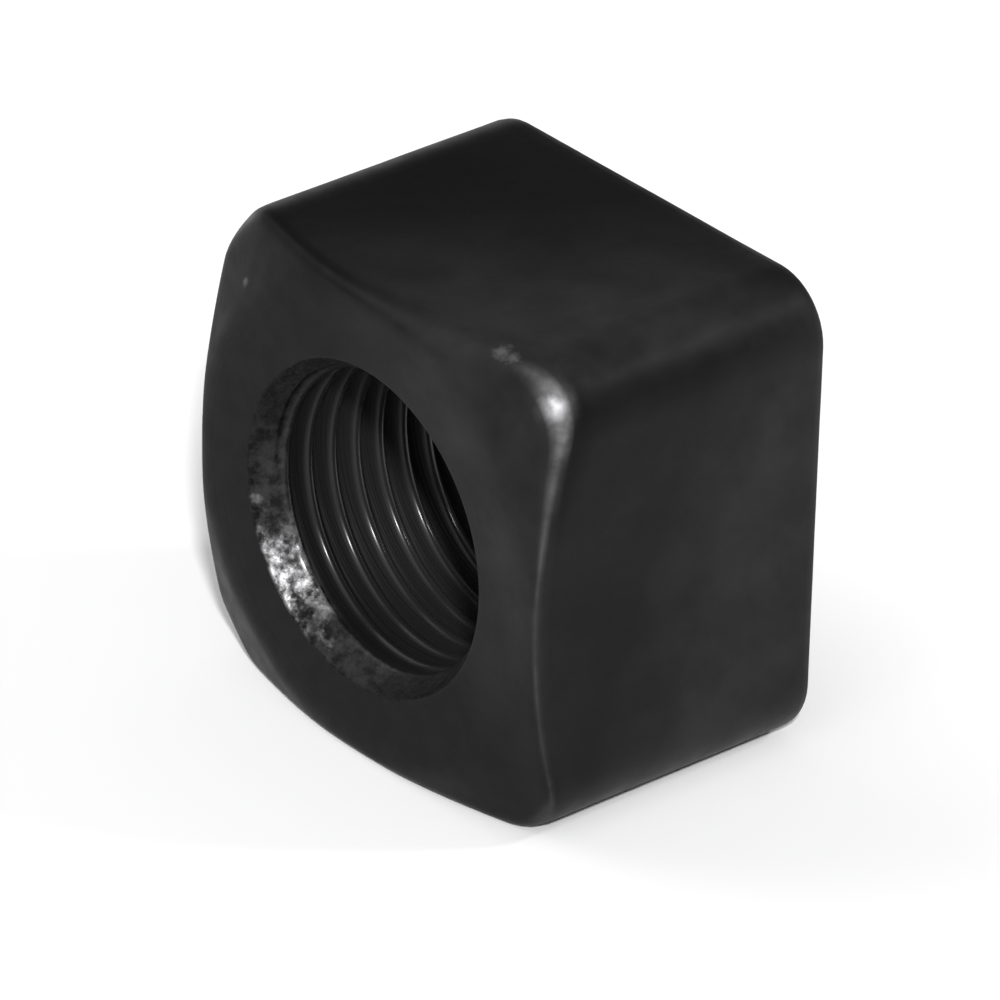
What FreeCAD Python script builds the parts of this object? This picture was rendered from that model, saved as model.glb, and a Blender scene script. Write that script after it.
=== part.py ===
import FreeCAD, Part
import math
import os
import Sketcher

# Square track nut, forged in one piece, bored and threaded through.
# The hole's axis runs along Y, the bevelled bearing face looks to -Y,
# and the nut stands on one of its four sides, with Z = 0 on that side.
# All lengths are in millimetres and all angles in degrees.

SIZES = {
    "across_flats": 23.8,
    "nut_height": 17.2,
    "corner_radius": 3.2,
    "bearing_margin": 0.4,
    "bevel_angle": 23.0,
    "bevel_edge_radius": 0.8,
    "back_edge_radius": 0.6,
    "thread_diameter": 15.875,
    "thread_pitch": 1.411,
    "mouth_margin": 0.2,
    "mouth_angle": 70.0,
}

# What follows from the sizes above.
# The round bearing face ends a margin inside the flats, so that the bevel cuts into all four.
# A 60 degree thread's crests stand 1.0825 pitches inside its outer diameter.
DERIVED = {
    "bearing_diameter": "=across_flats - 2 * bearing_margin",
    "bore_diameter": "=thread_diameter - 1.0825 * thread_pitch",
    "mouth_diameter": "=thread_diameter + 2 * mouth_margin",
    "mouth_depth": "=(mouth_diameter - bore_diameter) / 2 / tan(mouth_angle * 1 deg / 2)",
}

NODE = "track_nut"


def add_sizes(document):
    """Keep every driving size in one sheet, each under its own alias."""
    sheet = document.addObject("Spreadsheet::Sheet", "sizes")
    rows = list(SIZES.items()) + list(DERIVED.items())
    for number, (alias, value) in enumerate(rows, start=1):
        sheet.set("A%d" % number, alias)
        sheet.set("B%d" % number, str(value))
        sheet.setAlias("B%d" % number, alias)
    document.recompute()
    return sheet


def origin_plane(body, role):
    """One of the body's own origin planes."""
    for feature in body.Origin.OriginFeatures:
        if feature.Role == role:
            return feature
    raise ValueError("no origin plane named " + role)


def new_sketch(body, name, role):
    """A sketch that lies on one of the body's own origin planes."""
    sketch = body.newObject("Sketcher::SketchObject", name)
    sketch.AttachmentSupport = (origin_plane(body, role), [""])
    sketch.MapMode = "FlatFace"
    return sketch


def point(across, along):
    return FreeCAD.Vector(across, along, 0)


def drive(sketch, name, expression):
    """Name the last constraint and bind it to the sheet."""
    sketch.renameConstraint(sketch.ConstraintCount - 1, name)
    sketch.setExpression("Constraints." + name, expression)


def add_polygon(sketch, corners):
    """A closed chain of lines; each line starts at the corner of its own number."""
    count = len(corners)
    for index in range(count):
        start = corners[index]
        end = corners[(index + 1) % count]
        sketch.addGeometry(Part.LineSegment(start, end), False)
    for index in range(count):
        following = (index + 1) % count
        sketch.addConstraint(Sketcher.Constraint("Coincident", index, 2, following, 1))


def outline_sketch(body, sheet):
    """The square with rounded corners that the forged blank has all along its height."""
    sketch = new_sketch(body, "outline", "XZ_Plane")
    half = sheet.across_flats / 2
    radius = sheet.corner_radius
    straight = half - radius
    for quarter in range(4):
        turn = FreeCAD.Rotation(FreeCAD.Vector(0, 0, 1), 90 * quarter)
        start = turn.multVec(point(half, -straight))
        end = turn.multVec(point(half, straight))
        sketch.addGeometry(Part.LineSegment(start, end), False)
        centre = turn.multVec(point(straight, straight))
        circle = Part.Circle(centre, FreeCAD.Vector(0, 0, 1), radius)
        first_angle = math.radians(90 * quarter)
        last_angle = first_angle + math.pi / 2
        sketch.addGeometry(Part.ArcOfCircle(circle, first_angle, last_angle), False)
    # Lines have the even numbers and the arcs that follow them the odd ones.
    for quarter in range(4):
        line = 2 * quarter
        arc = line + 1
        next_line = (line + 2) % 8
        sketch.addConstraint(Sketcher.Constraint("Tangent", line, 2, arc, 1))
        sketch.addConstraint(Sketcher.Constraint("Tangent", arc, 2, next_line, 1))
    sketch.addConstraint(Sketcher.Constraint("Vertical", 0))
    sketch.addConstraint(Sketcher.Constraint("Horizontal", 2))
    sketch.addConstraint(Sketcher.Constraint("Vertical", 4))
    sketch.addConstraint(Sketcher.Constraint("Horizontal", 6))
    for arc in (3, 5, 7):
        sketch.addConstraint(Sketcher.Constraint("Equal", 1, arc))
    sketch.addConstraint(Sketcher.Constraint("Radius", 1, radius))
    drive(sketch, "corner_radius", "sizes.corner_radius")
    # The four flats stand at equal distances from the hole's axis.
    for line, name in ((0, "right_flat"), (2, "top_flat"), (4, "left_flat"), (6, "lower_flat")):
        sketch.addConstraint(Sketcher.Constraint("Distance", -1, 1, line, half))
        drive(sketch, name, "sizes.across_flats / 2")
    return sketch


def bevel_sketch(body, sheet):
    """Section of what the lathe takes off the bearing side, beyond the round bearing face."""
    sketch = new_sketch(body, "bevel_section", "XY_Plane")
    front = -sheet.nut_height / 2
    ring = sheet.bearing_diameter / 2
    outside = sheet.across_flats
    depth = (outside - ring) * math.tan(math.radians(sheet.bevel_angle))
    add_polygon(sketch, [point(ring, front), point(outside, front), point(outside, front + depth)])
    sketch.addConstraint(Sketcher.Constraint("Horizontal", 0))
    sketch.addConstraint(Sketcher.Constraint("Vertical", 1))
    sketch.addConstraint(Sketcher.Constraint("DistanceX", -1, 1, 0, 1, ring))
    drive(sketch, "bearing_radius", "sizes.bearing_diameter / 2")
    sketch.addConstraint(Sketcher.Constraint("DistanceY", 0, 1, -1, 1, -front))
    drive(sketch, "front_face", "sizes.nut_height / 2")
    sketch.addConstraint(Sketcher.Constraint("DistanceX", -1, 1, 0, 2, outside))
    drive(sketch, "past_the_corners", "sizes.across_flats")
    sketch.addConstraint(Sketcher.Constraint("Angle", 0, 1, 2, 2, math.radians(sheet.bevel_angle)))
    drive(sketch, "bevel_angle", "sizes.bevel_angle")
    return sketch


def bore_sketch(body, sheet):
    """Half section of the bore, with the countersunk mouth at each end of the thread."""
    sketch = new_sketch(body, "bore_section", "XY_Plane")
    half_height = sheet.nut_height / 2
    wall = sheet.bore_diameter / 2
    mouth = sheet.mouth_diameter / 2
    sink = sheet.mouth_depth
    add_polygon(sketch, [
        point(0, -half_height),
        point(mouth, -half_height),
        point(wall, -half_height + sink),
        point(wall, half_height - sink),
        point(mouth, half_height),
        point(0, half_height),
    ])
    sketch.addConstraint(Sketcher.Constraint("Horizontal", 0))
    sketch.addConstraint(Sketcher.Constraint("Vertical", 2))
    sketch.addConstraint(Sketcher.Constraint("Horizontal", 4))
    sketch.addConstraint(Sketcher.Constraint("PointOnObject", 5, 1, -2))
    sketch.addConstraint(Sketcher.Constraint("PointOnObject", 0, 1, -2))
    sketch.addConstraint(Sketcher.Constraint("DistanceY", 0, 1, -1, 1, half_height))
    drive(sketch, "front_face", "sizes.nut_height / 2")
    sketch.addConstraint(Sketcher.Constraint("DistanceY", -1, 1, 5, 1, half_height))
    drive(sketch, "back_face", "sizes.nut_height / 2")
    sketch.addConstraint(Sketcher.Constraint("DistanceX", -1, 1, 2, 1, wall))
    drive(sketch, "bore_radius", "sizes.bore_diameter / 2")
    sketch.addConstraint(Sketcher.Constraint("DistanceX", 0, 1, 0, 2, mouth))
    drive(sketch, "front_mouth_radius", "sizes.mouth_diameter / 2")
    sketch.addConstraint(Sketcher.Constraint("DistanceX", 5, 1, 4, 1, mouth))
    drive(sketch, "back_mouth_radius", "sizes.mouth_diameter / 2")
    sketch.addConstraint(Sketcher.Constraint("DistanceY", 0, 2, 1, 2, sink))
    drive(sketch, "front_sink", "sizes.mouth_depth")
    sketch.addConstraint(Sketcher.Constraint("DistanceY", 3, 1, 3, 2, sink))
    drive(sketch, "back_sink", "sizes.mouth_depth")
    return sketch


def groove_about_axis(body, name, sketch):
    """Turn the section about the hole's axis and take it away, checking that it did."""
    before = body.Tip.Shape.Volume
    groove = body.newObject("PartDesign::Groove", name)
    groove.Profile = sketch
    groove.ReferenceAxis = (sketch, ["V_Axis"])
    groove.Angle = 360
    sketch.Visibility = False
    body.Document.recompute()
    if groove.Shape.Volume >= before:
        raise ValueError(name + " took nothing away")
    return groove


def edge_names(shape, wanted):
    """Names of the edges that the test picks by their middle point."""
    names = []
    for number, edge in enumerate(shape.Edges, start=1):
        middle = edge.valueAt((edge.FirstParameter + edge.LastParameter) / 2)
        if wanted(edge, middle):
            names.append("Edge%d" % number)
    return names


def round_edges(body, name, names, expression):
    """A fillet along the named edges of the body's last feature."""
    base = body.Tip
    fillet = body.newObject("PartDesign::Fillet", name)
    fillet.Base = (base, names)
    fillet.setExpression("Radius", expression)
    body.Document.recompute()
    return fillet


def build_nut(document, sheet):
    body = document.addObject("PartDesign::Body", NODE)
    body.Label = NODE

    blank = body.newObject("PartDesign::Pad", "blank")
    blank.Profile = outline_sketch(body, sheet)
    blank.SideType = "Symmetric"
    blank.setExpression("Length", "sizes.nut_height")
    document.recompute()

    groove_about_axis(body, "bevel", bevel_sketch(body, sheet))
    groove_about_axis(body, "bore", bore_sketch(body, sheet))

    half_height = sheet.nut_height / 2
    touching = 1e-4

    def from_axis(place):
        return math.hypot(place.x, place.z)

    def where_bevel_meets_sides(edge, middle):
        in_front_half = middle.y < 0
        behind_front_face = middle.y > -half_height + touching
        outside = from_axis(middle) > sheet.bearing_diameter / 2 + touching
        along_axis = abs(edge.Vertexes[0].Y - edge.Vertexes[-1].Y) > half_height
        return in_front_half and behind_front_face and outside and not along_axis

    def where_back_meets_sides(edge, middle):
        on_back_face = abs(middle.y - half_height) < touching
        return on_back_face and from_axis(middle) > sheet.mouth_diameter / 2 + touching

    bevel_edges = edge_names(body.Tip.Shape, where_bevel_meets_sides)
    round_edges(body, "bevel_edge", bevel_edges, "sizes.bevel_edge_radius")
    back_edges = edge_names(body.Tip.Shape, where_back_meets_sides)
    round_edges(body, "back_edge", back_edges, "sizes.back_edge_radius")

    # The lower side lies on Z = 0, so the axis stands half the width above it.
    body.setExpression("Placement.Base.z", "sizes.across_flats / 2")
    return body


def check_built(document, parts):
    """Stop if any feature failed or a piece is empty or broken."""
    for item in document.Objects:
        if "Invalid" in item.State or "Error" in item.State:
            raise ValueError(item.Name + " failed to build")
    for part in parts:
        if part.Shape.isNull() or not part.Shape.isValid():
            raise ValueError(part.Label + " has no sound shape")


def main():
    document = FreeCAD.newDocument("track_nut_model")
    sheet = add_sizes(document)
    parts = [build_nut(document, sheet)]
    document.recompute()
    check_built(document, parts)
    os.makedirs("parts", exist_ok=True)
    for part in parts:
        part.Shape.exportStep("parts/" + part.Label + ".step")
        box = part.Shape.optimalBoundingBox(True, False)
        print("%s: %d solid, %.1f cubic mm, X %.2f to %.2f, Y %.2f to %.2f, Z %.2f to %.2f" % (
            part.Label, len(part.Shape.Solids), part.Shape.Volume,
            box.XMin, box.XMax, box.YMin, box.YMax, box.ZMin, box.ZMax))


main()
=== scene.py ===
import math

import bpy
from mathutils import Matrix, Vector


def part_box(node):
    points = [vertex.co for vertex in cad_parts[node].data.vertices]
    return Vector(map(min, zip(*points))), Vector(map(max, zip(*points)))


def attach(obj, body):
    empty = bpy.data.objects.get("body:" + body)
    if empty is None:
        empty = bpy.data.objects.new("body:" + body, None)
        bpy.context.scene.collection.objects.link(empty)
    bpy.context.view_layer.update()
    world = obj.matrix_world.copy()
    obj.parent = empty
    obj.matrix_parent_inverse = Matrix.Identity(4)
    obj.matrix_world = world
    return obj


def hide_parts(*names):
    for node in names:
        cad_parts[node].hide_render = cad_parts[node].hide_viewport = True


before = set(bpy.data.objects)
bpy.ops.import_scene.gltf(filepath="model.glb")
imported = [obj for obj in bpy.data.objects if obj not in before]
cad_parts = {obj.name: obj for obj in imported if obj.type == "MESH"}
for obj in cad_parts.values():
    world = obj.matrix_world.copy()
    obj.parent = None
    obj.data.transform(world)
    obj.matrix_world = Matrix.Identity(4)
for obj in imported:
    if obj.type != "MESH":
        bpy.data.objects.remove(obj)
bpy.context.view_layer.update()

# Sizes of the nut, in metres. The outer ones are read from the frame.
NODE = "track_nut"
MM = 0.001
node_low, node_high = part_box(NODE)
ACROSS_FLATS = node_high.x - node_low.x
NUT_HEIGHT = node_high.y - node_low.y
AXIS_HEIGHT = (node_high.z + node_low.z) / 2
BEARING_RADIUS = ACROSS_FLATS / 2 - 0.4 * MM
BEVEL_ANGLE = math.radians(23)

# The thread, a standard one with 60 degrees between its flanks. Its crests are 1.0825 pitches
# narrower across than its grooves.
THREAD_RADIUS = 15.875 * MM / 2
THREAD_PITCH = 1.411 * MM
THREAD_DEPTH = 1.0825 * THREAD_PITCH / 2
CREST_RADIUS = THREAD_RADIUS - THREAD_DEPTH
FLANK_ANGLE = math.radians(30)
PITCHES_IN_GROOVE_FLAT = 1 / 8
MOUTH_RADIUS = THREAD_RADIUS + 0.2 * MM
MOUTH_HALF_ANGLE = math.radians(35)

# Inputs that the nut's trees share, by name. The hole's axis is the Y axis of these trees.
NUT_SIZES = {
    "Half across flats": ACROSS_FLATS / 2,
    "Half height": NUT_HEIGHT / 2,
    "Corner radius": 3.2 * MM,
    "Bearing radius": BEARING_RADIUS,
    "Bevel angle": BEVEL_ANGLE,
    "Bearing edge rounding": 3.0 * MM,
    "Bevel edge rounding": 0.8 * MM,
    "Worn edge rounding": 2.4 * MM,
    "Upper right corner wear": 0.62 * MM,
    "Upper left corner wear": 0.40 * MM,
    "Lower corner wear": 0.25 * MM,
    "Corner wear blending": 2.0 * MM,
    "Back edge rounding": 0.6 * MM,
    "Mouth radius": MOUTH_RADIUS,
    "Mouth half angle": MOUTH_HALF_ANGLE,
    "Mouth rim rounding": 0.12 * MM,
    "Side hollow": 0.20 * MM,
    "Forging waviness": 0.06 * MM,
    "Forging wave scale": 130.0,
}
# The thread's start is a share of a turn.
THREAD_SIZES = {
    "Half height": NUT_HEIGHT / 2,
    "Thread radius": THREAD_RADIUS,
    "Crest radius": CREST_RADIUS,
    "Pitch": THREAD_PITCH,
    "Thread start": 0.496,
    "Thread edge rounding": 0.5 * MM,
    "Mouth radius": MOUTH_RADIUS,
    "Mouth half angle": MOUTH_HALF_ANGLE,
    "Mouth blending": 0.1 * MM,
    "Run-in start": 0.6 * MM,
    "Run-in end": 1.7 * MM,
}

# How finely the nut's surface is divided.
STEPS_AROUND = 256
ROWS_PER_PITCH = 20
# Rows of the outer surface: front mouth, bearing face, bevel, sides, back, back mouth.
SECTION_ROWS = (4, 12, 14, 22, 14, 4)
# The threaded surface and the outer one meet in the mouths, this far outside the thread.
SEAM_RADIUS = THREAD_RADIUS + 0.12 * MM
MERGE_DISTANCE = 0.002 * MM
# A point of the outer surface is moved on to the nut in a few steps, along a slope that is probed.
SETTLE_STEPS = 3
PROBE = 0.01 * MM
LEAST_STEEPNESS = 0.05

# A ramp is written as where it starts and where it ends, and then as its values at both ends.
# Where they are left out, its values are 0 and 1. Places are metres from the nut's middle, except
# where something else is said. Noise is written as its scale, its detail and its roughness.

# Wear of the bevel's corners: the way that the flat on the upper right one faces, how far that is
# from the way that the bevel faces, and the width over which one corner's wear gives way to the next.
CORNER_WEAR_FACING = Vector((0.60, -0.60, 0.53)).normalized()
CORNER_WEAR_TURN = math.radians(30)
CORNER_WEAR_FADE = 2.0 * MM
# The edge between the bevel and the top is worn rounder towards the right.
WORN_EDGE_ACROSS = (-4.0 * MM, 6.0 * MM)
WORN_EDGE_UPWARDS = (2.0 * MM, 9.0 * MM)
# The forging's unevenness fades out on the turned face, over this width.
FORGED_FADE = 1.5 * MM
WAVE_DETAIL = 2.0
WAVE_ROUGHNESS = 0.45

# Masks that the mesh keeps for its material: from how much of an edge and a corner has gone, and
# how far the mouth's mask reaches, across the mouth's rim and from either end into the thread.
EDGE_MASK = (0.35, 1.0)
CORNER_MASK = (0.1, 0.5)
MOUTH_MASK_HALF_WIDTH = 0.05 * MM
MOUTH_MASK_IN_THREAD = (2.2 * MM, 1.5 * MM)
# Halfway along the nut, the mask of the bevel's edge gives way to that of the back edge.
EDGE_MASK_CHANGE = (-1.0 * MM, 1.0 * MM)
# The mask of the crests is full up to its start, this far outside them, and fades out over its width.
CREST_MASK_START = 0.03 * MM
CREST_MASK_WIDTH = 0.2 * MM

# Colours of the finish.
SKIN_DARK = (0.004, 0.004, 0.0042, 1.0)
SKIN_PALE = (0.009, 0.009, 0.0093, 1.0)
THREAD_PAINTED_DARK = (0.003, 0.003, 0.0031, 1.0)
THREAD_PAINTED_PALE = (0.011, 0.011, 0.0113, 1.0)
# Bare steel from wear, also used as the colour of painted highlights.
BARE_STEEL_AND_HIGHLIGHT = (0.42, 0.42, 0.43, 1.0)
# The thread's colour is painted shading: darker behind the front mouth and paler further in.
THREAD_SHADING_RAMP = (-6.5 * MM, -3.0 * MM)

# Layers of the forged skin, and the ramp of its mottling from the dark colour to the pale one.
GRAIN_NOISE = (7000.0, 3.0, 0.6)
DENT_NOISE = (900.0, 2.0, 0.5)
MOTTLE_NOISE = (220.0, 4.0, 0.6)
MOTTLE_RAMP = (0.35, 0.65)

# Painted shade and light on the black skin's colour, on each side: the way in which it is painted paler,
# and its ramp along that way.
PAINTED_SIDE_SHADING = {
    "body": ((1.0, 0.35, 0.0), (-14.0 * MM, 14.0 * MM, 0.3, 1.7)),
    "top": ((1.0, -0.6, 0.0), (-4.5 * MM, 12.0 * MM, 0.12, 2.4)),
    "right": ((0.0, 1.0, -0.35), (-2.0 * MM, 3.5 * MM, 0.55, 1.9)),
    "front": ((1.0, 0.0, 0.65), (3.5 * MM, 11.0 * MM, 0.05, 1.8)),
}
# Where the top, the right and the front begin: upwards, to the right, and behind the front face.
SIDE_FADES = {
    "top": (10.9 * MM, 11.6 * MM),
    "right": (10.8 * MM, 11.6 * MM),
    "front": (0.9 * MM, 0.2 * MM),
}

# Rubbed skin, and the bare steel that stands in for highlights, is broken up by spots, of this detail
# and roughness.
SPOT_DETAIL = 4.0
SPOT_ROUGHNESS = 0.65
SPOT_RAMP = (0.35, 0.65)

# Bare steel along the edges, which on the bevel's right edge also stands in for its highlight, as a
# painted highlight. Handling has rubbed the right edge of the bevel, most near its top.
RUBBED_AND_HIGHLIT_RIGHT = (8.0 * MM, 11.0 * MM, 0.0, 0.06)
RUBBED_AND_HIGHLIT_FORWARDS = (0.0, -4.0 * MM)
RUBBED_AND_HIGHLIT_UPPER = (0.0, 7.0 * MM, 1.0, 2.5)
RUBBED_AND_HIGHLIT_TOP = (7.0 * MM, 9.5 * MM, 1.0, 2.4)
RUBBED_AND_HIGHLIT_EDGE_SPOTS = {"Scale": 450.0, "Least share": 0.4}
# The knocked corner is bare at the upper right only, where the bare steel also stands in for the
# corner's glint, as a painted highlight.
BARE_AND_GLINTING_CORNER_ACROSS = (4.0 * MM, 7.0 * MM, 0.10, 1.0)
BARE_AND_GLINTING_CORNER_UPWARDS = (8.5 * MM, 10.0 * MM, 0.10, 1.0)
BARE_AND_GLINTING_CORNER_SPOTS = {"Scale": 500.0, "Least share": 0.35, "Amount": 2.0}
RUBBED_CREST_SHARE = 0.015

# Small nicks in the skin that show bare steel, and that also stand in for sparkles on the bevel, as
# painted highlights: where they are, with heights from the floor, and how far they reach.
NICKS_AND_SPARKLES = (
    (Vector((7.3, -6.9, 23.6)) * MM, 0.60 * MM),
    (Vector((8.0, -6.85, 23.5)) * MM, 0.55 * MM),
    (Vector((-9.1, -8.15, 20.6)) * MM, 0.34 * MM),
)
NICK_AND_SPARKLE_SHARE = 0.15
NICK_AND_SPARKLE_RAGGEDNESS = 2.0
NICK_AND_SPARKLE_NOISE = (1600.0, 3.0, 0.7)

# The front mouth is torn and bare on one side, where the bare steel, and the lighter part around it,
# also stand in for the lamp's sparkle, as painted highlight: the way there from the axis, the ramps of
# the torn part and of the lighter part around it, and how little of it the back mouth has.
TORN_AND_SPARKLING_SIDE = Vector((-0.75, 0.0, -0.66))
TORN_AND_SPARKLING_RAMP = (0.88, 1.06)
AROUND_TORN_AND_SPARKLING_RAMP = (0.4, 0.85, 0.01, 0.06)
TORN_AND_SPARKLING_FORWARDS = (0.0, -1.0 * MM, 0.04, 1.0)
TORN_AND_SPARKLING_OUTLINE_NOISE = (700.0, 3.0, 0.6)
TORN_AND_SPARKLING_OUTLINE_RAGGEDNESS = 0.35
TORN_NOISE = (2800.0, 2.0, 0.6)
TORN_AND_SPARKLING_SPOTS = {"Scale": 1500.0, "Amount": 1.0}

# How rough the skin is in its dents and between them, and the thread in its grooves and on its crests.
SKIN_ROUGHNESS = (0.38, 0.62, 0.44, 0.50)
THREAD_ROUGHNESS = (0.0, 1.0, 0.55, 0.26)
OIL_ON_CRESTS = 0.35
OIL_ROUGHNESS = 0.18
OIL_IOR = 1.5
SKIN_IOR = 1.5
SKIN_SPECULAR = 0.12

# Relief that the material adds, in metres.
GRAIN_HEIGHT = 0.005 * MM
DENT_HEIGHT = 0.009 * MM
RING_HEIGHT = 0.004 * MM
TORN_HEIGHT = 0.06 * MM
TAP_MARK_HEIGHT = 0.022 * MM
TAP_MARK_SPACING = 0.06 * MM
TAP_MARK_DETAIL = 1.0
TAP_MARK_ROUGHNESS = 0.5
RING_SPACING = 0.3 * MM
RING_DETAIL = 3.0
RING_ROUGHNESS = 0.6
# The knocked corner is smoother than the forged skin.
GRAIN_ON_CORNER = (0.0, 1.0, 1.0, 0.3)
# Only the bearing face has turned rings. They end this far behind it.
RINGS_END = (0.5 * MM, 0.2 * MM)

# Camera: the view of the photograph, a long lens from the upper right. Its azimuth and elevation
# are in degrees.
VIEW_AZIMUTH = 48.74
VIEW_ELEVATION = 29.01
VIEW_ROLL = math.radians(1.75)
VIEW_DISTANCE = 0.5277
VIEW_TARGET = Vector((0.0, 0.00008, AXIS_HEIGHT))
VIEW_SHIFT_RIGHT = 0.00037
VIEW_SHIFT_UP = 0.00123
LENS = 417.1
SENSOR = 36.0
CLIP_NEAR = 0.01
CLIP_FAR = 50.0

# Lamps: azimuth and elevation in degrees, strength in watts per square metre, width in degrees.
LAMPS = {
    "key": (52.0, 37.0, 2.7, 4.0),
    "front": (20.0, 42.0, 0.5, 50.0),
    "left": (-65.0, 40.0, 0.8, 45.0),
    "rear": (140.0, 41.0, 0.6, 7.0),
}
# The room's brightness over the sine of the elevation: its walls, and a paler ceiling added to them.
ROOM_WALLS = (0.06, 0.42, 0.9, 0.07)
ROOM_CEILING = (0.52, 0.80, 0.0, 0.28)

FLOOR_RADIUS = 12.0
FLOOR_CORNERS = 64
FLOOR_COLOUR = (0.95, 0.95, 0.95, 1.0)


class Writer:
    """Adds nodes to one tree. An input may be a plain value or another node's output."""

    def __init__(self, tree):
        self.tree = tree

    def put(self, socket, value):
        if isinstance(value, bpy.types.NodeSocket):
            self.tree.links.new(value, socket)
        else:
            socket.default_value = value

    def node(self, kind, inputs=None, **settings):
        node = self.tree.nodes.new(kind)
        for name, value in settings.items():
            setattr(node, name, value)
        for key, value in (inputs or {}).items():
            self.put(node.inputs[key], value)
        return node

    def math(self, operation, *values):
        return self.node("ShaderNodeMath", dict(enumerate(values)), operation=operation).outputs[0]

    def product(self, first, *others):
        for value in others:
            first = self.math("MULTIPLY", first, value)
        return first

    def largest(self, first, *others):
        for value in others:
            first = self.math("MAXIMUM", first, value)
        return first

    def blend(self, share, first, second):
        return self.math("MULTIPLY_ADD", share, self.math("SUBTRACT", second, first), first)

    def vector_math(self, operation, *values):
        node = self.node("ShaderNodeVectorMath", dict(enumerate(values)), operation=operation)
        return node.outputs["Value"] if operation in ("LENGTH", "DOT_PRODUCT") else node.outputs[0]

    def scale(self, vector, factor):
        node = self.node("ShaderNodeVectorMath", {0: vector, "Scale": factor}, operation="SCALE")
        return node.outputs[0]

    def combine(self, x, y, z):
        return self.node("ShaderNodeCombineXYZ", {0: x, 1: y, 2: z}).outputs[0]

    def separate(self, vector):
        return self.node("ShaderNodeSeparateXYZ", {0: vector}).outputs

    def mix_colour(self, share, first, second):
        node = self.node("ShaderNodeMix", data_type="RGBA")
        factor, colour_a, colour_b = node.inputs[0], node.inputs[6], node.inputs[7]
        for socket, value in ((factor, share), (colour_a, first), (colour_b, second)):
            self.put(socket, value)
        return node.outputs[2]

    def map_range(self, value, low, high, to_low=0.0, to_high=1.0, easing="LINEAR"):
        inputs = {"Value": value, "From Min": low, "From Max": high, "To Min": to_low, "To Max": to_high}
        return self.node("ShaderNodeMapRange", inputs, interpolation_type=easing).outputs[0]

    def noise(self, place, scale, detail, roughness):
        return self.node("ShaderNodeTexNoise", {
            "Vector": place, "Scale": scale, "Detail": detail, "Roughness": roughness}).outputs[0]

    def noise_along(self, distance, detail, roughness):
        """Noise that changes along one distance only."""
        return self.node("ShaderNodeTexNoise", {
            "W": distance, "Scale": 1.0, "Detail": detail, "Roughness": roughness},
            noise_dimensions="1D").outputs[0]

    def group(self, tree, inputs=None, given=None):
        """Another tree as one node. Inputs that the parent tree also has are passed on."""
        kind = "GeometryNodeGroup" if self.tree.bl_idname == "GeometryNodeTree" else "ShaderNodeGroup"
        node = self.tree.nodes.new(kind)
        node.node_tree = tree
        for socket in node.inputs:
            if inputs and socket.name in inputs:
                self.put(socket, inputs[socket.name])
            elif given is not None and socket.name in given.outputs:
                self.put(socket, given.outputs[socket.name])
        return node


def new_tree(name, kind, inputs, outputs):
    """A node tree with named sockets, its writer, its input node and its output node."""
    tree = bpy.data.node_groups.new(name, kind)
    for socket_name, (socket_kind, value) in inputs.items():
        socket = tree.interface.new_socket(name=socket_name, in_out="INPUT", socket_type=socket_kind)
        if value is not None:
            socket.default_value = value
    for socket_name, socket_kind in outputs.items():
        tree.interface.new_socket(name=socket_name, in_out="OUTPUT", socket_type=socket_kind)
    given = tree.nodes.new("NodeGroupInput")
    result = tree.nodes.new("NodeGroupOutput")
    return tree, Writer(tree), given, result


def float_inputs(sizes):
    return {name: ("NodeSocketFloat", value) for name, value in sizes.items()}


def length_from_axis(write, x, z):
    return write.vector_math("LENGTH", write.combine(x, 0.0, z))


def rounded_meeting_tree():
    """Two surfaces, given as distances outside each, meet in an edge rounded by a radius.
    The turn is the angle between the ways that they face."""
    tree, write, given, result = new_tree(
        "Rounded meeting", "GeometryNodeTree",
        float_inputs({"First": 0.0, "Second": 0.0, "Radius": 0.0, "Turn": math.pi / 2}),
        {"Distance": "NodeSocketFloat"})
    first = write.math("ADD", given.outputs["First"], given.outputs["Radius"])
    second = write.math("ADD", given.outputs["Second"], given.outputs["Radius"])
    cosine = write.math("COSINE", given.outputs["Turn"])
    past_first = write.math("SUBTRACT", first, write.math("MULTIPLY", second, cosine))
    past_second = write.math("SUBTRACT", second, write.math("MULTIPLY", first, cosine))
    on_edge = write.math("MULTIPLY", write.math("GREATER_THAN", past_first, 0.0),
                         write.math("GREATER_THAN", past_second, 0.0))
    squares = write.math("ADD", write.math("MULTIPLY", first, past_first),
                         write.math("MULTIPLY", second, past_second))
    from_centre = write.math("DIVIDE", write.math("SQRT", write.math("MAXIMUM", squares, 0.0)),
                             write.math("SINE", given.outputs["Turn"]))
    on_faces = write.math("MAXIMUM", first, second)
    extra = write.math("MULTIPLY", on_edge, write.math("SUBTRACT", from_centre, on_faces))
    distance = write.math("SUBTRACT", write.math("ADD", on_faces, extra), given.outputs["Radius"])
    tree.links.new(distance, result.inputs["Distance"])
    return tree


def half_flat(write, size):
    """Half the length of a flat, between its rounded corners."""
    return write.math("SUBTRACT", size["Half across flats"], size["Corner radius"])


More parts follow.
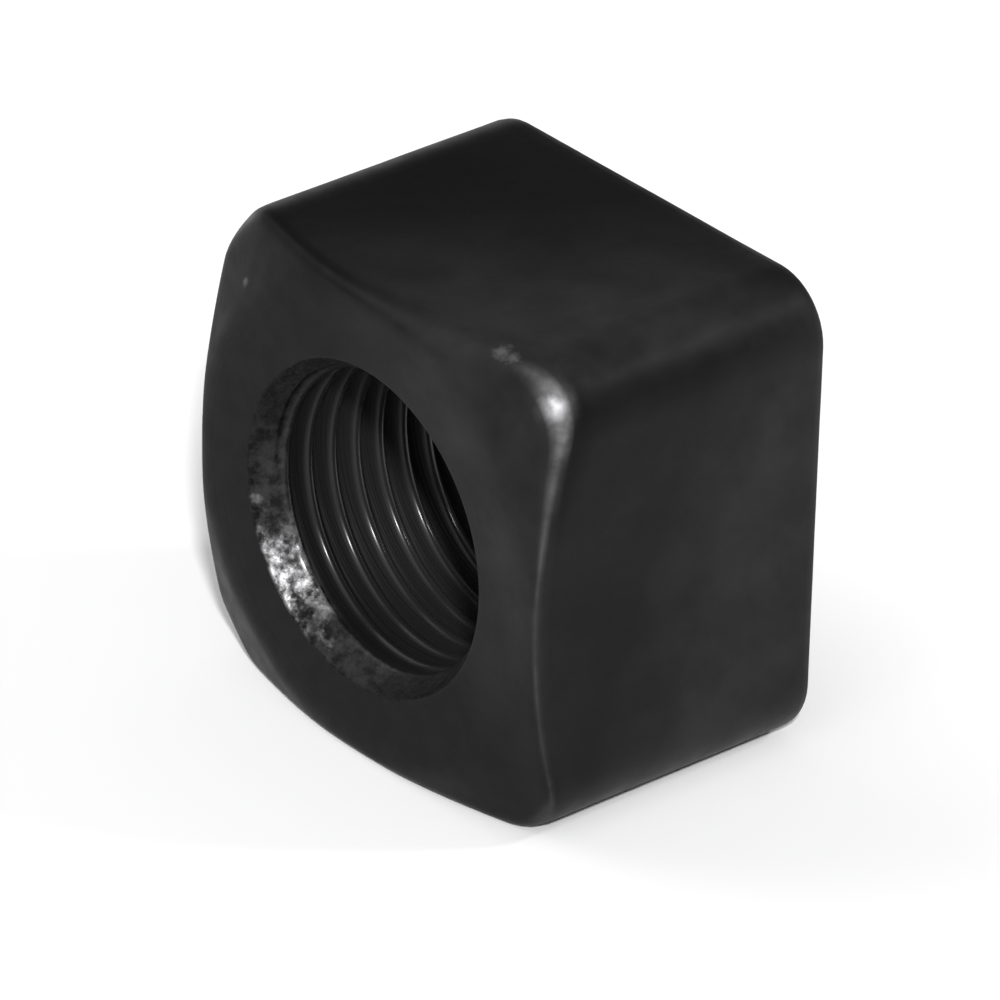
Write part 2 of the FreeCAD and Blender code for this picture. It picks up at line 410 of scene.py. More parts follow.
def four_sides(write, size, x, y, z):
    """Distance outside four flats with rounded corners between them."""
    straight = half_flat(write, size)
    past_x = write.math("SUBTRACT", write.math("ABSOLUTE", x), straight)
    past_z = write.math("SUBTRACT", write.math("ABSOLUTE", z), straight)
    corner = write.vector_math("LENGTH", write.combine(
        write.math("MAXIMUM", past_x, 0.0), write.math("MAXIMUM", past_z, 0.0), 0.0))
    flat = write.math("MINIMUM", write.math("MAXIMUM", past_x, past_z), 0.0)
    sides = write.math("SUBTRACT", write.math("ADD", corner, flat), size["Corner radius"])

    # The sides are a little hollow, as a forging's are that has shrunk in its middle.
    off_middle = write.math("MINIMUM", write.math("ABSOLUTE", x), write.math("ABSOLUTE", z))
    fullness = 1.0
    for distance, reach in ((off_middle, straight), (y, size["Half height"])):
        share = write.math("POWER", write.math("DIVIDE", distance, reach), 2.0)
        left = write.math("MAXIMUM", write.math("SUBTRACT", 1.0, share), 0.0)
        fullness = write.math("MULTIPLY", fullness, left)
    return write.math("ADD", sides, write.math("MULTIPLY", fullness, size["Side hollow"]))


def knocked_corners(write, size, x, depth, z):
    """Distance outside the flats that knocks have left on the bevel's corners, the upper ones most."""
    upper = write.map_range(x, -CORNER_WEAR_FADE, CORNER_WEAR_FADE,
                            size["Upper left corner wear"], size["Upper right corner wear"])
    wear = write.map_range(z, -CORNER_WEAR_FADE, CORNER_WEAR_FADE, size["Lower corner wear"], upper)
    corner_reach = write.math("ADD", write.math("MULTIPLY", half_flat(write, size), math.sqrt(2.0)),
                              size["Corner radius"])
    corner_depth = write.math("MULTIPLY", write.math("SUBTRACT", corner_reach, size["Bearing radius"]),
                              write.math("TANGENT", size["Bevel angle"]))
    outwards = (CORNER_WEAR_FACING.x + CORNER_WEAR_FACING.z) / math.sqrt(2.0)
    forwards = -CORNER_WEAR_FACING.y
    place = write.combine(write.math("ABSOLUTE", x), depth, write.math("ABSOLUTE", z))
    along_facing = write.vector_math("DOT_PRODUCT", place, CORNER_WEAR_FACING)
    corner_at = write.math("SUBTRACT", write.math("MULTIPLY", corner_reach, outwards),
                           write.math("MULTIPLY", corner_depth, forwards))
    return write.math("ADD", write.math("SUBTRACT", along_facing, corner_at), wear)


def outside_tree(rounded_meeting):
    """How far a point lies outside the unthreaded nut, and what share of an edge or a corner is gone."""
    inputs = {"Point": ("NodeSocketVector", None), **float_inputs(NUT_SIZES)}
    outputs = {"Distance": "NodeSocketFloat", "Rounded off": "NodeSocketFloat",
               "Knocked off": "NodeSocketFloat"}
    tree, write, given, result = new_tree("Outside the nut", "GeometryNodeTree", inputs, outputs)
    size = given.outputs
    x, y, z = write.separate(size["Point"])
    from_axis = length_from_axis(write, x, z)
    depth = write.math("ADD", y, size["Half height"])
    from_back = write.math("SUBTRACT", size["Half height"], y)

    # The two ends, the bevel and the countersunk mouths.
    front = write.math("MULTIPLY", depth, -1.0)
    back = write.math("MULTIPLY", from_back, -1.0)
    past_bearing = write.math("SUBTRACT", from_axis, size["Bearing radius"])
    bevel = write.math("SUBTRACT",
                       write.math("MULTIPLY", past_bearing, write.math("SINE", size["Bevel angle"])),
                       write.math("MULTIPLY", depth, write.math("COSINE", size["Bevel angle"])))
    inside_mouth = write.math("MULTIPLY", write.math("SUBTRACT", size["Mouth radius"], from_axis),
                              write.math("COSINE", size["Mouth half angle"]))
    slope = write.math("SINE", size["Mouth half angle"])
    front_mouth = write.math("SUBTRACT", inside_mouth, write.math("MULTIPLY", depth, slope))
    back_mouth = write.math("SUBTRACT", inside_mouth, write.math("MULTIPLY", from_back, slope))

    worn_rounder = write.product(write.map_range(x, *WORN_EDGE_ACROSS, easing="SMOOTHSTEP"),
                                 write.map_range(z, *WORN_EDGE_UPWARDS, easing="SMOOTHSTEP"))
    edge_rounding = write.map_range(worn_rounder, 0.0, 1.0, size["Bevel edge rounding"],
                                    size["Worn edge rounding"])

    square = math.pi / 2
    bevel_turn = write.math("SUBTRACT", square, size["Bevel angle"])
    mouth_turn = write.math("SUBTRACT", square, size["Mouth half angle"])
    surfaces = (
        (bevel, size["Bearing edge rounding"], size["Bevel angle"]),
        (four_sides(write, size, x, y, z), edge_rounding, bevel_turn),
        (back, size["Back edge rounding"], square),
        (front_mouth, size["Mouth rim rounding"], mouth_turn),
        (back_mouth, size["Mouth rim rounding"], mouth_turn),
    )
    distance = front
    sharp = front
    for surface, radius, turn in surfaces:
        meeting = write.group(rounded_meeting, {
            "First": distance, "Second": surface, "Radius": radius, "Turn": turn})
        distance = meeting.outputs["Distance"]
        sharp = write.math("MAXIMUM", sharp, surface)
    knocked = write.group(rounded_meeting, {
        "First": distance, "Second": knocked_corners(write, size, x, depth, z),
        "Radius": size["Corner wear blending"], "Turn": CORNER_WEAR_TURN})
    lost = write.math("SUBTRACT", knocked.outputs["Distance"], distance)
    knocked_share = write.math("DIVIDE", lost, size["Upper right corner wear"])
    tree.links.new(knocked_share, result.inputs["Knocked off"])
    distance = knocked.outputs["Distance"]

    # The forging's sides are a little uneven, inwards only. The turned bearing face and mouth stay true.
    waves = write.noise(size["Point"], size["Forging wave scale"], WAVE_DETAIL, WAVE_ROUGHNESS)
    forged = write.map_range(from_axis, write.math("SUBTRACT", size["Bearing radius"], FORGED_FADE),
                             size["Bearing radius"], easing="SMOOTHSTEP")
    wave = write.product(waves, size["Forging waviness"], forged)
    tree.links.new(write.math("ADD", distance, wave), result.inputs["Distance"])

    # The share is 1 in the middle of an edge. A square edge loses more to the same radius.
    bevel_edge_share = 1.0 - math.cos((square - BEVEL_ANGLE) / 2)
    back_edge_share = 1.0 - math.cos(square / 2)
    most = write.map_range(
        y, *EDGE_MASK_CHANGE, write.math("MULTIPLY", edge_rounding, bevel_edge_share),
        write.math("MULTIPLY", size["Back edge rounding"], back_edge_share))
    loss = write.math("SUBTRACT", distance, sharp)
    tree.links.new(write.math("DIVIDE", loss, most), result.inputs["Rounded off"])
    return tree


def settle_tree(outside):
    """One step that moves a point along the steepest way on to the nut's surface."""
    inputs = {"Point": ("NodeSocketVector", None), **float_inputs(NUT_SIZES)}
    tree, write, given, result = new_tree(
        "Settle on the nut", "GeometryNodeTree", inputs, {"Point": "NodeSocketVector"})
    point = given.outputs["Point"]
    here = write.group(outside, {"Point": point}, given).outputs["Distance"]
    slopes = []
    for step in ((PROBE, 0.0, 0.0), (0.0, PROBE, 0.0), (0.0, 0.0, PROBE)):
        beside = write.vector_math("ADD", point, step)
        there = write.group(outside, {"Point": beside}, given).outputs["Distance"]
        slopes.append(write.math("DIVIDE", write.math("SUBTRACT", there, here), PROBE))
    slope = write.combine(*slopes)
    steepness = write.math("MAXIMUM", write.vector_math("DOT_PRODUCT", slope, slope), LEAST_STEEPNESS)
    move = write.scale(slope, write.math("DIVIDE", here, steepness))
    tree.links.new(write.vector_math("SUBTRACT", point, move), result.inputs["Point"])
    return tree


def outline_radius(write, size, angle):
    """Distance from the axis to a square with rounded corners, in the direction of an angle."""
    quarter = math.pi / 2
    shifted = write.math("ADD", angle, quarter / 2)
    wrapped = write.math("FLOORED_MODULO", shifted, quarter)
    from_flat = write.math("ABSOLUTE", write.math("SUBTRACT", wrapped, quarter / 2))
    cosine = write.math("COSINE", from_flat)
    straight = half_flat(write, size)
    on_flat = write.math("DIVIDE", size["Half across flats"], cosine)
    along = write.math("MULTIPLY", straight, write.math("ADD", cosine, write.math("SINE", from_flat)))
    radius_square = write.math("POWER", size["Corner radius"], 2.0)
    centre_square = write.math("MULTIPLY", write.math("POWER", straight, 2.0), 2.0)
    reach_square = write.math("ADD", write.math("SUBTRACT", radius_square, centre_square),
                              write.math("POWER", along, 2.0))
    on_corner = write.math("ADD", along, write.math("SQRT", write.math("MAXIMUM", reach_square, 0.0)))
    across = write.math("MULTIPLY", size["Half across flats"], write.math("TANGENT", from_flat))
    is_corner = write.math("GREATER_THAN", across, straight)
    extra = write.math("MULTIPLY", is_corner, write.math("SUBTRACT", on_corner, on_flat))
    return write.math("ADD", on_flat, extra)


def sheet_of_points(write, columns, rows):
    """A flat grid to be bent into a tube: the grid, the angle of each column, its row's number."""
    grid = write.node("GeometryNodeMeshGrid", {
        "Size X": 1.0, "Size Y": 1.0, "Vertices X": columns + 1, "Vertices Y": rows + 1})
    x, y, _ = write.separate(write.node("GeometryNodeInputPosition").outputs[0])
    angle = write.math("MULTIPLY", write.math("ADD", x, 0.5), 2 * math.pi)
    row = write.math("MULTIPLY", write.math("ADD", y, 0.5), float(rows))
    return grid.outputs["Mesh"], angle, row


def around_axis(write, radius, along, angle):
    x = write.math("MULTIPLY", radius, write.math("COSINE", angle))
    z = write.math("MULTIPLY", radius, write.math("SINE", angle))
    return write.combine(x, along, z)


def keep_attributes(write, geometry, values):
    for name, value in values.items():
        geometry = write.node("GeometryNodeStoreNamedAttribute", {
            "Geometry": geometry, "Name": name, "Value": value},
            data_type="FLOAT", domain="POINT").outputs[0]
    return geometry


def seam_depth(write, size):
    """How deep in a mouth the outer surface and the threaded one meet."""
    across = write.math("SUBTRACT", size["Mouth radius"], size["Seam radius"])
    return write.math("DIVIDE", across, write.math("TANGENT", size["Mouth half angle"]))


def outer_surface_tree(outside, settle):
    """The outside of the nut, from inside its front mouth round to inside its back mouth."""
    tree, write, given, result = new_tree(
        "Nut outer surface", "GeometryNodeTree",
        float_inputs({**NUT_SIZES, "Seam radius": SEAM_RADIUS}), {"Geometry": "NodeSocketGeometry"})
    size = given.outputs
    grid, angle, row = sheet_of_points(write, STEPS_AROUND, sum(SECTION_ROWS))
    outline = outline_radius(write, size, angle)
    front = write.math("MULTIPLY", size["Half height"], -1.0)
    back = size["Half height"]
    in_mouth = seam_depth(write, size)
    bevel_depth = write.math("MULTIPLY", write.math("SUBTRACT", outline, size["Bearing radius"]),
                             write.math("TANGENT", size["Bevel angle"]))
    stations = (
        (size["Seam radius"], write.math("ADD", front, in_mouth)),
        (size["Mouth radius"], front),
        (size["Bearing radius"], front),
        (outline, write.math("ADD", front, bevel_depth)),
        (outline, back),
        (size["Mouth radius"], back),
        (size["Seam radius"], write.math("SUBTRACT", back, in_mouth)),
    )
    radius, along = stations[0]
    first_row = 0
    for rows, start, end in zip(SECTION_ROWS, stations, stations[1:]):
        share = write.map_range(row, float(first_row), float(first_row + rows), easing="SMOOTHERSTEP")
        radius = write.math("MULTIPLY_ADD", write.math("SUBTRACT", end[0], start[0]), share, radius)
        along = write.math("MULTIPLY_ADD", write.math("SUBTRACT", end[1], start[1]), share, along)
        first_row += rows
    point = around_axis(write, radius, along, angle)
    for _ in range(SETTLE_STEPS):
        point = write.group(settle, {"Point": point}, given).outputs["Point"]
    bent = write.node("GeometryNodeSetPosition", {"Geometry": grid, "Position": point}).outputs[0]

    place = write.node("GeometryNodeInputPosition").outputs[0]
    measured = write.group(outside, {"Point": place}, given)
    x, _, z = write.separate(place)
    mouth = write.map_range(length_from_axis(write, x, z),
                            write.math("ADD", size["Mouth radius"], MOUTH_MASK_HALF_WIDTH),
                            write.math("SUBTRACT", size["Mouth radius"], MOUTH_MASK_HALF_WIDTH))
    kept = keep_attributes(write, bent, {
        "edge": write.map_range(measured.outputs["Rounded off"], *EDGE_MASK, easing="SMOOTHSTEP"),
        "corner": write.map_range(measured.outputs["Knocked off"], *CORNER_MASK, easing="SMOOTHSTEP"),
        "mouth": mouth,
        "crest": 0.0,
        "thread": 0.0,
    })
    tree.links.new(kept, result.inputs["Geometry"])
    return tree


def threaded_surface_tree():
    """The threaded wall of the hole, a right-hand helix that runs out into both mouths."""
    tree, write, given, result = new_tree(
        "Nut threaded surface", "GeometryNodeTree",
        float_inputs({**THREAD_SIZES, "Seam radius": SEAM_RADIUS}), {"Geometry": "NodeSocketGeometry"})
    size = given.outputs
    rows = round(NUT_HEIGHT / THREAD_PITCH * ROWS_PER_PITCH)
    grid, angle, row = sheet_of_points(write, STEPS_AROUND, rows)
    mouth_slope = write.math("TANGENT", size["Mouth half angle"])
    seam = write.math("SUBTRACT", size["Half height"], seam_depth(write, size))
    along = write.map_range(row, 0.0, float(rows), write.math("MULTIPLY", seam, -1.0), seam)

    # Distance along the axis from the middle of the nearest groove. The fraction needs a positive count.
    whole_turns = 100.0
    turns = write.math("ADD", write.math("DIVIDE", along, size["Pitch"]),
                       write.math("DIVIDE", angle, 2 * math.pi))
    turns = write.math("ADD", turns, size["Thread start"])
    phase = write.math("SUBTRACT", write.math("FRACT", write.math("ADD", turns, whole_turns)), 0.5)
    from_groove = write.math("MULTIPLY", write.math("ABSOLUTE", phase), size["Pitch"])
    groove_half_flat = write.math("MULTIPLY", size["Pitch"], PITCHES_IN_GROOVE_FLAT / 2)
    up_flank = write.math("DIVIDE", write.math("SUBTRACT", from_groove, groove_half_flat),
                          math.tan(FLANK_ANGLE))
    flank = write.math("SUBTRACT", size["Thread radius"], up_flank)
    rounding = size["Thread edge rounding"]
    cut = write.math("SMOOTH_MIN", flank, size["Thread radius"], rounding)
    thread = write.math("SMOOTH_MAX", cut, size["Crest radius"], rounding)
    for end in (write.math("ADD", along, size["Half height"]),
                write.math("SUBTRACT", size["Half height"], along)):
        run_in = write.map_range(end, size["Run-in start"], size["Run-in end"], easing="SMOOTHSTEP")
        groove = write.math("SUBTRACT", thread, size["Crest radius"])
        thread = write.math("MULTIPLY_ADD", groove, run_in, size["Crest radius"])
        cone = write.math("SUBTRACT", size["Mouth radius"], write.math("MULTIPLY", end, mouth_slope))
        thread = write.math("SMOOTH_MAX", thread, cone, size["Mouth blending"])

    near_end = write.math("SUBTRACT", size["Half height"], write.math("ABSOLUTE", along))
    mouth = write.map_range(near_end, *MOUTH_MASK_IN_THREAD, easing="SMOOTHSTEP")
    crest_top = write.math("ADD", size["Crest radius"], CREST_MASK_START)
    crest = write.map_range(thread, write.math("ADD", crest_top, CREST_MASK_WIDTH), crest_top,
                            easing="SMOOTHSTEP")
    kept = keep_attributes(write, grid, {
        "crest": crest,
        "mouth": mouth,
        "edge": 0.0,
        "corner": 0.0,
        "thread": write.math("SUBTRACT", 1.0, mouth),
    })
    bent = write.node("GeometryNodeSetPosition", {
        "Geometry": kept, "Position": around_axis(write, thread, along, angle)}).outputs[0]
    tree.links.new(bent, result.inputs["Geometry"])
    return tree


def nut_tree():
    """The whole nut: its outer and threaded surfaces, closed into one skin and set on its side."""
    outside = outside_tree(rounded_meeting_tree())
    outer_surface = outer_surface_tree(outside, settle_tree(outside))
    threaded_surface = threaded_surface_tree()
    inputs = float_inputs({**NUT_SIZES, **THREAD_SIZES, "Seam radius": SEAM_RADIUS,
                           "Axis height": AXIS_HEIGHT})
    inputs["Material"] = ("NodeSocketMaterial", None)
    tree, write, given, result = new_tree(
        "Square nut", "GeometryNodeTree", inputs, {"Geometry": "NodeSocketGeometry"})
    outer = write.group(outer_surface, None, given).outputs[0]
    thread = write.group(threaded_surface, None, given).outputs[0]
    outer = write.node("GeometryNodeFlipFaces", {"Mesh": outer}).outputs[0]
    joined = write.node("GeometryNodeJoinGeometry")
    tree.links.new(outer, joined.inputs[0])
    tree.links.new(thread, joined.inputs[0])
    closed = write.node("GeometryNodeMergeByDistance", {
        "Geometry": joined.outputs[0], "Distance": MERGE_DISTANCE}).outputs[0]
    raised = write.node("GeometryNodeSetPosition", {
        "Geometry": closed, "Offset": write.combine(0.0, 0.0, given.outputs["Axis height"])}).outputs[0]
    smooth = write.node("GeometryNodeSetShadeSmooth", {"Geometry": raised}).outputs[0]
    real = write.node("GeometryNodeRealizeInstances", {"Geometry": smooth}).outputs[0]
    finished = write.node("GeometryNodeSetMaterial", {
        "Geometry": real, "Material": given.outputs["Material"]}).outputs[0]
    tree.links.new(finished, result.inputs["Geometry"])
    return tree


def make_nut(material):
    """Evaluate the nut's tree once and keep the result as a plain mesh."""
    tree = nut_tree()
    carrier = bpy.data.objects.new("nut_carrier", bpy.data.meshes.new("nut_carrier"))
    bpy.context.scene.collection.objects.link(carrier)
    modifier = carrier.modifiers.new("Square nut", "NODES")
    modifier.node_group = tree
    values = {**NUT_SIZES, **THREAD_SIZES, "Seam radius": SEAM_RADIUS, "Axis height": AXIS_HEIGHT,
              "Material": material}
    for socket in tree.interface.items_tree:
        if socket.in_out == "INPUT":
            modifier[socket.identifier] = values[socket.name]
    graph = bpy.context.evaluated_depsgraph_get()
    mesh = bpy.data.meshes.new_from_object(carrier.evaluated_get(graph))
    bpy.data.objects.remove(carrier)
    mesh.name = "nut_skin"
    nut = bpy.data.objects.new("threaded_nut", mesh)
    bpy.context.scene.collection.objects.link(nut)
    return nut


def forged_grain_tree():
    """Skin of a forging: fine grain, soft dents and slow mottling of the oxide."""
    layers = (
        ("Grain", "Grain scale", GRAIN_NOISE),
        ("Dents", "Dent scale", DENT_NOISE),
        ("Mottle", "Mottle scale", MOTTLE_NOISE),
    )
    inputs = {"Coordinate": ("NodeSocketVector", None),
              **float_inputs({scale_name: noise[0] for _, scale_name, noise in layers})}
    tree, write, given, result = new_tree(
        "Forged grain", "ShaderNodeTree", inputs, {name: "NodeSocketFloat" for name, _, _ in layers})
    for name, scale_name, (_, detail, roughness) in layers:
        layer = write.noise(given.outputs["Coordinate"], given.outputs[scale_name], detail, roughness)
        tree.links.new(layer, result.inputs[name])
    return tree


def rubbed_and_highlit_skin_tree():
    """Where handling has rubbed the black skin thin, and where bare steel stands in for a highlight: a
    mask broken up by noise.
    """
    inputs = {"Coordinate": ("NodeSocketVector", None),
              **float_inputs({"Mask": 0.0, "Scale": 1200.0, "Amount": 0.5, "Least share": 0.0})}
    tree, write, given, result = new_tree(
        "Rubbed and highlit skin", "ShaderNodeTree", inputs, {"Rubbed": "NodeSocketFloat"})
    spots = write.noise(given.outputs["Coordinate"], given.outputs["Scale"], SPOT_DETAIL, SPOT_ROUGHNESS)
    broken = write.map_range(spots, *SPOT_RAMP, given.outputs["Least share"], 1.0, easing="SMOOTHSTEP")
    rubbed_and_highlit = write.product(given.outputs["Mask"], broken, given.outputs["Amount"])
    tree.links.new(rubbed_and_highlit, result.inputs["Rubbed"])
    return tree


def turned_rings_tree():
    """Fine rings that the lathe leaves on the bearing face, about the hole's axis."""
    inputs = {"Coordinate": ("NodeSocketVector", None),
              **float_inputs({"Axis height": AXIS_HEIGHT, "Ring spacing": RING_SPACING})}
    tree, write, given, result = new_tree(
        "Turned rings", "ShaderNodeTree", inputs, {"Rings": "NodeSocketFloat"})
    x, _, z = write.separate(given.outputs["Coordinate"])
    from_axis = length_from_axis(write, x, write.math("SUBTRACT", z, given.outputs["Axis height"]))
    count = write.math("DIVIDE", from_axis, given.outputs["Ring spacing"])
    tree.links.new(write.noise_along(count, RING_DETAIL, RING_ROUGHNESS), result.inputs["Rings"])
    return tree


def rubbed_edges_and_highlights(write, rubbed_and_highlit_skin, place, from_middle, edge, corner):
    """Bare steel on the knocked corner, and along the right edge of the bevel. It also stands in for the
    corner's glint and the edge's highlight, as painted highlight.
    """
    x, y, up = write.separate(from_middle)
    handling_and_highlight = write.product(
        write.map_range(x, *RUBBED_AND_HIGHLIT_RIGHT), write.map_range(y, *RUBBED_AND_HIGHLIT_FORWARDS),
        write.map_range(up, *RUBBED_AND_HIGHLIT_UPPER), write.map_range(up, *RUBBED_AND_HIGHLIT_TOP, easing="SMOOTHSTEP"))
    rubbed_edge_and_highlight = write.group(rubbed_and_highlit_skin, {
        "Coordinate": place, "Mask": edge, "Amount": handling_and_highlight, **RUBBED_AND_HIGHLIT_EDGE_SPOTS}).outputs[0]
    upper_right = write.product(write.map_range(x, *BARE_AND_GLINTING_CORNER_ACROSS),
                                write.map_range(up, *BARE_AND_GLINTING_CORNER_UPWARDS, easing="SMOOTHSTEP"))
    bare_corner_and_glint = write.group(rubbed_and_highlit_skin, {
        "Coordinate": place, "Mask": write.product(corner, upper_right), **BARE_AND_GLINTING_CORNER_SPOTS}).outputs[0]
    return write.largest(rubbed_edge_and_highlight, bare_corner_and_glint)


def ragged_nicks_and_sparkles(write, place):
    """Small nicks with a ragged outline, which also stand in for sparkles, as painted highlights."""
    ragged = write.math("SUBTRACT", write.noise(place, *NICK_AND_SPARKLE_NOISE), 0.5)
    nicked_and_sparkling = 0.0
    for middle, reach in NICKS_AND_SPARKLES:
        away = write.vector_math("LENGTH", write.vector_math("SUBTRACT", place, middle))
        away = write.math("MULTIPLY_ADD", ragged, NICK_AND_SPARKLE_RAGGEDNESS * reach, away)
        nicked_and_sparkling = write.largest(nicked_and_sparkling, write.map_range(away, reach, 0.0, easing="SMOOTHSTEP"))
    return write.product(nicked_and_sparkling, NICK_AND_SPARKLE_SHARE)


def torn_and_sparkling_mouth(write, rubbed_and_highlit_skin, place, from_middle, mouth):
    """Bare steel in the mouths, which were cut coarsely. The front one is torn on one side, where the
    bare steel also stands in for the lamp's sparkle, as painted highlight.
    """
    x, y, up = write.separate(from_middle)
    outwards = write.vector_math("NORMALIZE", write.combine(x, 0.0, up))
    towards_sparkle = write.vector_math("DOT_PRODUCT", outwards, TORN_AND_SPARKLING_SIDE)
    patches = write.math("SUBTRACT", write.noise(place, *TORN_AND_SPARKLING_OUTLINE_NOISE), 0.5)
    towards_sparkle = write.math("MULTIPLY_ADD", patches, TORN_AND_SPARKLING_OUTLINE_RAGGEDNESS, towards_sparkle)
    torn_and_sparkling = write.largest(write.map_range(towards_sparkle, *TORN_AND_SPARKLING_RAMP, easing="SMOOTHSTEP"),
                         write.map_range(towards_sparkle, *AROUND_TORN_AND_SPARKLING_RAMP))
    bare_and_sparkling = write.product(mouth, torn_and_sparkling, write.map_range(y, *TORN_AND_SPARKLING_FORWARDS))
    return write.group(rubbed_and_highlit_skin, {"Coordinate": place, "Mask": bare_and_sparkling, **TORN_AND_SPARKLING_SPOTS}).outputs[0]


# Painted shade and light on one side of the skin.
def painted_shading_of_side(write, from_middle, side):
    way, ramp = PAINTED_SIDE_SHADING[side]
    return write.map_range(write.vector_math("DOT_PRODUCT", from_middle, way), *ramp)


def painted_skin_shading(write, from_middle):
    """Painted shade and light: how pale the black skin is painted. It pales in its own way on each of
    the sides that are seen.
    """
    x, y, up = write.separate(from_middle)
    past_bearing = write.math("SUBTRACT", length_from_axis(write, x, up), BEARING_RADIUS)
    bevel_depth = write.product(write.largest(past_bearing, 0.0), math.tan(BEVEL_ANGLE))
    behind_front = write.math("SUBTRACT", write.math("ADD", y, NUT_HEIGHT / 2), bevel_depth)
    shading = painted_shading_of_side(write, from_middle, "body")
    for side, where in (("top", up), ("right", x), ("front", behind_front)):
        on_side = write.map_range(where, *SIDE_FADES[side])
        shading = write.blend(on_side, shading, painted_shading_of_side(write, from_middle, side))
    return shading


def blackened_steel():
    """Black oxide on forged steel, lightly oiled, with a coarse cut in the mouths. Its colour also holds
    painted shade and light, and bare steel that stands in for highlights.
    """
    material = bpy.data.materials.new("blackened_steel")
    material.use_nodes = True
    tree = material.node_tree
    tree.nodes.clear()
    write = Writer(tree)
    place = write.node("ShaderNodeTexCoord").outputs["Object"]
    from_middle = write.vector_math("SUBTRACT", place, (0.0, 0.0, AXIS_HEIGHT))
    y = write.separate(place)[1]
    edge, corner, crest, mouth, thread = (
        write.node("ShaderNodeAttribute", attribute_name=name).outputs["Fac"]
        for name in ("edge", "corner", "crest", "mouth", "thread"))
    forged = write.math("SUBTRACT", 1.0, thread)
    grain = write.group(forged_grain_tree(), {"Coordinate": place})
    rings = write.group(turned_rings_tree(), {"Coordinate": place})
    rubbed_and_highlit_skin = rubbed_and_highlit_skin_tree()

    # Bare steel from wear, which on the edges, the knocked corner, the nicks and the torn mouth also
    # stands in for highlights.
    worn_and_highlit = write.largest(
        rubbed_edges_and_highlights(write, rubbed_and_highlit_skin, place, from_middle, edge, corner),
        torn_and_sparkling_mouth(write, rubbed_and_highlit_skin, place, from_middle, mouth),
        write.product(crest, RUBBED_CREST_SHARE), ragged_nicks_and_sparkles(write, place))
    worn_and_highlit = write.math("MINIMUM", worn_and_highlit, 1.0)

    mottle = write.map_range(grain.outputs["Mottle"], *MOTTLE_RAMP)
    # The skin's colour is scaled by painted shade and light, side by side.
    skin = write.scale(write.mix_colour(mottle, SKIN_DARK, SKIN_PALE), painted_skin_shading(write, from_middle))
    # Painted shading in the thread: darker near the front mouth, paler further in.
    inside = write.mix_colour(write.map_range(y, *THREAD_SHADING_RAMP), THREAD_PAINTED_DARK, THREAD_PAINTED_PALE)
    colour = write.mix_colour(worn_and_highlit, write.mix_colour(thread, skin, inside), BARE_STEEL_AND_HIGHLIGHT)
    skin_roughness = write.map_range(grain.outputs["Dents"], *SKIN_ROUGHNESS)
    thread_roughness = write.map_range(crest, *THREAD_ROUGHNESS)
    roughness = write.math("ADD", write.product(forged, skin_roughness),
                           write.product(thread, thread_roughness))

    # The tap leaves fine marks that run round the thread's grooves.
    tap_marks = write.noise_along(write.math("DIVIDE", y, TAP_MARK_SPACING),
                                  TAP_MARK_DETAIL, TAP_MARK_ROUGHNESS)
    groove = write.math("SUBTRACT", thread, write.math("MINIMUM", crest, thread))
    grainy = write.product(forged, write.map_range(corner, *GRAIN_ON_CORNER))
    turned = write.map_range(write.math("ADD", y, NUT_HEIGHT / 2), *RINGS_END)
    reliefs = (
        (grain.outputs["Grain"], grainy, GRAIN_HEIGHT),
        (grain.outputs["Dents"], grainy, DENT_HEIGHT),
        (rings.outputs["Rings"], turned, RING_HEIGHT),
        (write.noise(place, *TORN_NOISE), mouth, TORN_HEIGHT),
        (tap_marks, groove, TAP_MARK_HEIGHT),
    )
    height = 0.0
    for relief in reliefs:
        height = write.math("ADD", height, write.product(*relief))
    bump = write.node("ShaderNodeBump", {"Height": height, "Strength": 1.0, "Distance": 1.0}).outputs[0]
    shader = write.node("ShaderNodeBsdfPrincipled", {
        "Base Color": colour, "Roughness": roughness, "Metallic": worn_and_highlit, "Normal": bump,
        "Coat Weight": write.product(crest, OIL_ON_CRESTS), "Coat Roughness": OIL_ROUGHNESS,
        "Coat IOR": OIL_IOR, "IOR": SKIN_IOR, "Specular IOR Level": SKIN_SPECULAR})
    output = write.node("ShaderNodeOutputMaterial")
    tree.links.new(shader.outputs[0], output.inputs["Surface"])
    return material


def pale_floor():
    material = bpy.data.materials.new("pale_floor")
    material.use_nodes = True
    shader = material.node_tree.nodes["Principled BSDF"]
    shader.inputs["Base Color"].default_value = FLOOR_COLOUR
    shader.inputs["Roughness"].default_value = 1.0
    shader.inputs["Specular IOR Level"].default_value = 0.0
    return material


def make_floor():
    """A wide round floor."""
    points = []
    for index in range(FLOOR_CORNERS):
        angle = 2 * math.pi * index / FLOOR_CORNERS
        points.append((FLOOR_RADIUS * math.cos(angle), FLOOR_RADIUS * math.sin(angle), 0.0))
    mesh = bpy.data.meshes.new("floor")
    mesh.from_pydata(points, [], [range(FLOOR_CORNERS)])
    mesh.materials.append(pale_floor())
    floor = bpy.data.objects.new("floor", mesh)
    bpy.context.scene.collection.objects.link(floor)


def direction(azimuth, elevation):
    """From the object outwards, by degrees. Azimuth 0 is the -Y side, and a positive one turns to +X."""
    a = math.radians(azimuth)
    e = math.radians(elevation)
    return Vector((math.sin(a) * math.cos(e), -math.cos(a) * math.cos(e), math.sin(e)))


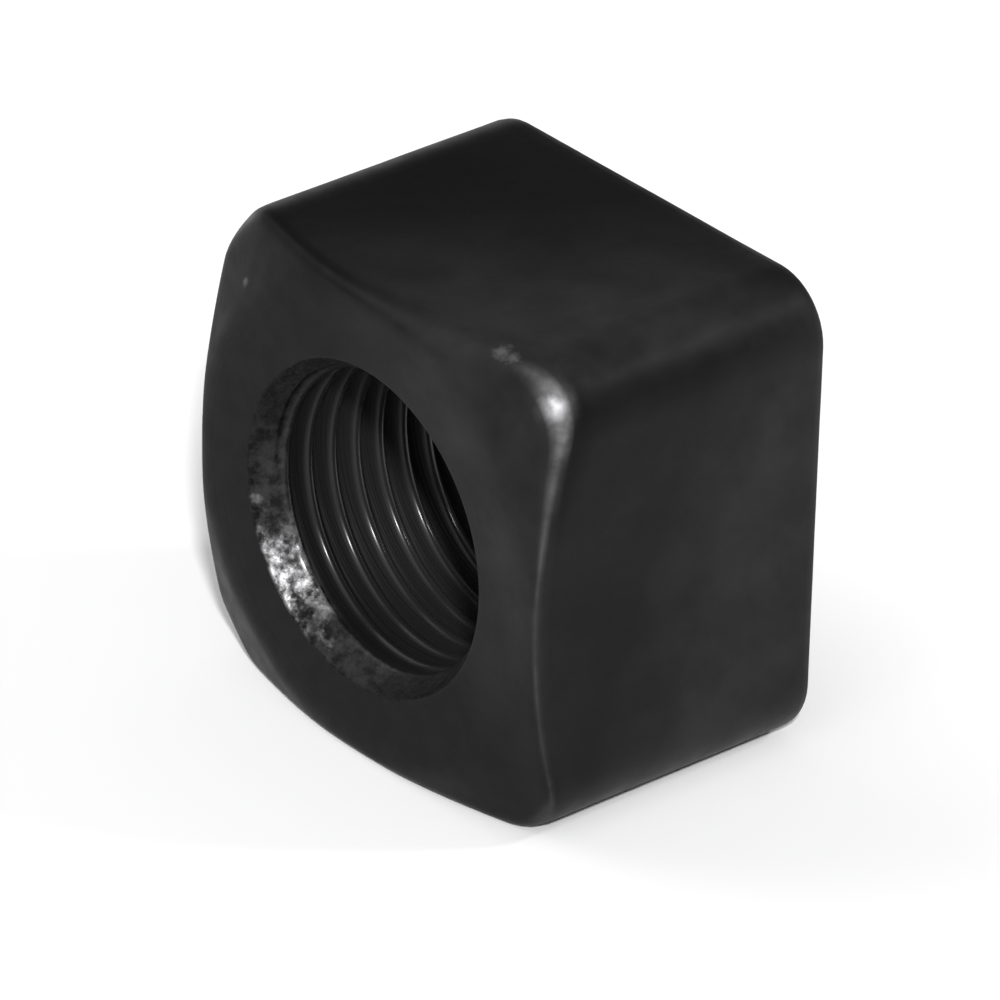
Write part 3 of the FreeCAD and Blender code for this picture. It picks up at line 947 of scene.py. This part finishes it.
def make_lamp(name, azimuth, elevation, strength, width):
    """A distant lamp that faces the object."""
    lamp = bpy.data.lights.new(name, "SUN")
    lamp.energy = strength
    lamp.angle = math.radians(width)
    holder = bpy.data.objects.new(name, lamp)
    towards = direction(azimuth, elevation)
    holder.location = towards
    holder.rotation_mode = "QUATERNION"
    holder.rotation_quaternion = towards.to_track_quat("Z", "Y")
    bpy.context.scene.collection.objects.link(holder)


def make_world():
    """A room that is pale near the horizon, dim above it and a little paler overhead."""
    world = bpy.data.worlds.new("studio")
    world.use_nodes = True
    tree = world.node_tree
    tree.nodes.clear()
    write = Writer(tree)
    up = write.separate(write.node("ShaderNodeTexCoord").outputs["Generated"])[2]
    level = write.math("ADD", write.map_range(up, *ROOM_WALLS, easing="SMOOTHSTEP"),
                       write.map_range(up, *ROOM_CEILING, easing="SMOOTHSTEP"))
    background = write.node("ShaderNodeBackground", {"Color": write.combine(level, level, level)})
    output = write.node("ShaderNodeOutputWorld")
    tree.links.new(background.outputs[0], output.inputs["Surface"])
    bpy.context.scene.world = world


def make_camera():
    """The camera stands where the photograph was taken from and is turned a little on its axis."""
    back = direction(VIEW_AZIMUTH, VIEW_ELEVATION)
    azimuth = math.radians(VIEW_AZIMUTH)
    level_right = Vector((math.cos(azimuth), math.sin(azimuth), 0.0))
    level_up = back.cross(level_right)
    right = level_right * math.cos(VIEW_ROLL) + level_up * math.sin(VIEW_ROLL)
    up = level_up * math.cos(VIEW_ROLL) - level_right * math.sin(VIEW_ROLL)
    place = VIEW_TARGET + back * VIEW_DISTANCE - right * VIEW_SHIFT_RIGHT - up * VIEW_SHIFT_UP
    data = bpy.data.cameras.new("camera")
    data.lens = LENS
    data.sensor_width = SENSOR
    data.clip_start = CLIP_NEAR
    data.clip_end = CLIP_FAR
    camera = bpy.data.objects.new("camera", data)
    camera.matrix_world = Matrix.Translation(place) @ Matrix((right, up, back)).transposed().to_4x4()
    bpy.context.scene.collection.objects.link(camera)
    bpy.context.scene.camera = camera


make_camera()
make_world()
make_floor()
for name, settings in LAMPS.items():
    make_lamp(name, *settings)

nut = make_nut(blackened_steel())
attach(nut, "root")
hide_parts(NODE)

bpy.context.scene.view_settings.view_transform = "Standard"
